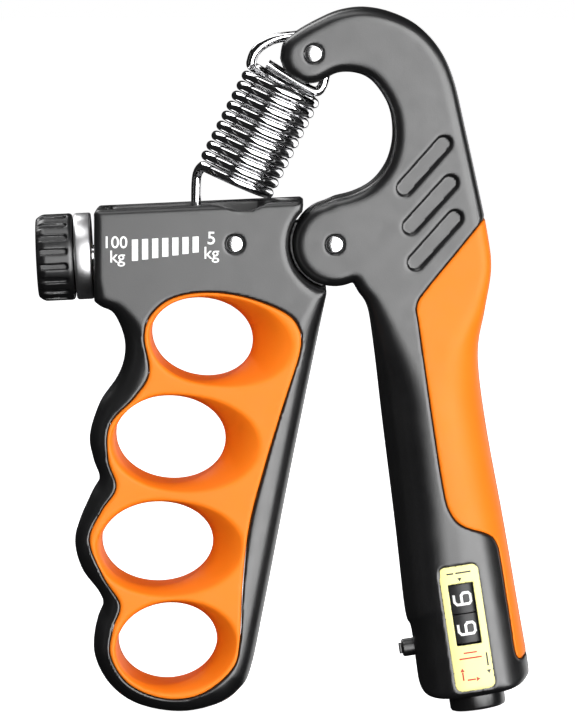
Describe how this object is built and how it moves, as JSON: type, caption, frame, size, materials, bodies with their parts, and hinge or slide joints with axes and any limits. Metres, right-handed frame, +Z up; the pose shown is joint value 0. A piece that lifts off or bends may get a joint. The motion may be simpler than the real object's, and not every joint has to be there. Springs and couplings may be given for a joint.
{
  "type": "finger exerciser",
  "caption": "Adjustable hand and finger gripper: two pivoted handles, a finger-holed insert, a coil spring set by a knob-driven carriage, and a squeeze counter.",
  "frame": {"origin": "centre of the whole part's bounding box at rest", "axes": "+Z up along the handles towards the horn, +X from the finger handle to the palm handle, +Y to the back"},
  "size_m": [0.1187, 0.0264, 0.1694],
  "materials": {
    "black_plastic": "satin moulded, fine grain",
    "orange_rubber": "soft-touch elastomer",
    "chrome_trim": "polished ring",
    "spring_chrome": "bright plated wire",
    "bright_steel": "turned, bright",
    "brass": "turned",
    "grey_nylon": "moulded",
    "yellow_label": "printed film",
    "wheel_plastic": "moulded, printed digits"
  },
  "bodies": {
    "finger_arm": {"finger_handle_front_shell": "black_plastic", "finger_handle_rear_shell": "black_plastic", "finger_grip_insert": "orange_rubber", "screw_end_block": "grey_nylon", "arm_rivet": "bright_steel", "screw_bush": "brass", "pivot_bush": "brass", "pivot_washers": "grey_nylon", "finger_shell_screws": "bright_steel"},
    "adjuster": {"adjuster_knob": "black_plastic", "knob_collar": "chrome_trim", "knob_end_cap": "black_plastic", "lead_screw": "bright_steel", "screw_retaining_clip": "bright_steel"},
    "carriage": {"spring_carriage": "grey_nylon", "carriage_nut": "brass", "carriage_pin": "bright_steel"},
    "spring": {"main_spring": "spring_chrome"},
    "palm_arm": {"palm_handle_front_shell": "black_plastic", "palm_handle_rear_shell": "black_plastic", "palm_grip_pad": "orange_rubber", "pivot_pin": "bright_steel", "horn_pin": "bright_steel", "palm_shell_screws": "bright_steel", "counter_frame": "grey_nylon", "counter_label": "yellow_label", "detent_leaf": "bright_steel", "reset_spring": "spring_chrome"},
    "count_button": {"count_button": "black_plastic", "drive_pawl": "bright_steel"},
    "units_wheel": {"units_wheel": "wheel_plastic"},
    "tens_wheel": {"tens_wheel": "wheel_plastic"},
    "reset_slider": {"reset_thrust_washer": "brass"},
    "reset_knob": {"reset_knob": "black_plastic", "reset_spindle": "bright_steel"}
  },
  "joints": [
    {"name": "squeeze", "type": "hinge", "parent": "finger_arm", "child": "palm_arm", "pos_m": [0.0121, 0, 0.0281], "axis": [0, 1, 0], "range_deg": [0, 19.5], "stiffness_Nm_per_rad": 4, "springref_deg": -11.46, "deforming": ["main_spring"]},
    {"name": "knob_spin", "type": "hinge", "parent": "finger_arm", "child": "adjuster", "pos_m": [-0.0544, 0, 0.0245], "axis": [0.999, 0, 0.0454], "range_deg": [-3241, 0], "deforming": ["main_spring"]},
    {"name": "resistance_slide", "type": "slide", "parent": "finger_arm", "child": "carriage", "axis": [0.999, 0, 0.0454], "range_m": [-0.018, 0], "deforming": ["main_spring"]},
    {"name": "spring_swing", "type": "hinge", "parent": "carriage", "child": "spring", "pos_m": [-0.0182, 0, 0.03455], "axis": [0, 1, 0], "range_deg": [0, 14], "deforming": ["main_spring"]},
    {"name": "button_press", "type": "slide", "parent": "palm_arm", "child": "count_button", "axis": [0.9885, 0, 0.1513], "range_m": [0, 0.002], "stiffness_N_per_m": 400, "springref_m": -0.0005},
    {"name": "units_wheel_turn", "type": "hinge", "parent": "palm_arm", "child": "units_wheel", "pos_m": [0.0439, -0.0026, -0.0645], "axis": [-0.1513, 0, 0.9885], "continuous": true},
    {"name": "tens_wheel_turn", "type": "hinge", "parent": "palm_arm", "child": "tens_wheel", "pos_m": [0.0439, -0.0026, -0.0645], "axis": [-0.1513, 0, 0.9885], "continuous": true},
    {"name": "reset_push", "type": "slide", "parent": "palm_arm", "child": "reset_slider", "axis": [-0.1513, 0, 0.9885], "range_m": [0, 0.0015], "stiffness_N_per_m": 400, "springref_m": -0.0005, "deforming": ["reset_spring"]},
    {"name": "reset_turn", "type": "hinge", "parent": "reset_slider", "child": "reset_knob", "pos_m": [0.0439, -0.0026, -0.0645], "axis": [-0.1513, 0, 0.9885], "continuous": true}
  ],
  "couplings": [
    {"joint": "knob_spin", "follows": "resistance_slide", "rad_per_m": 3141.6},
    {"joint": "spring_swing", "follows": "squeeze", "ratio": 0.716},
    {"joint": "tens_wheel_turn", "follows": "units_wheel_turn", "ratio": 0.1}
  ]
}
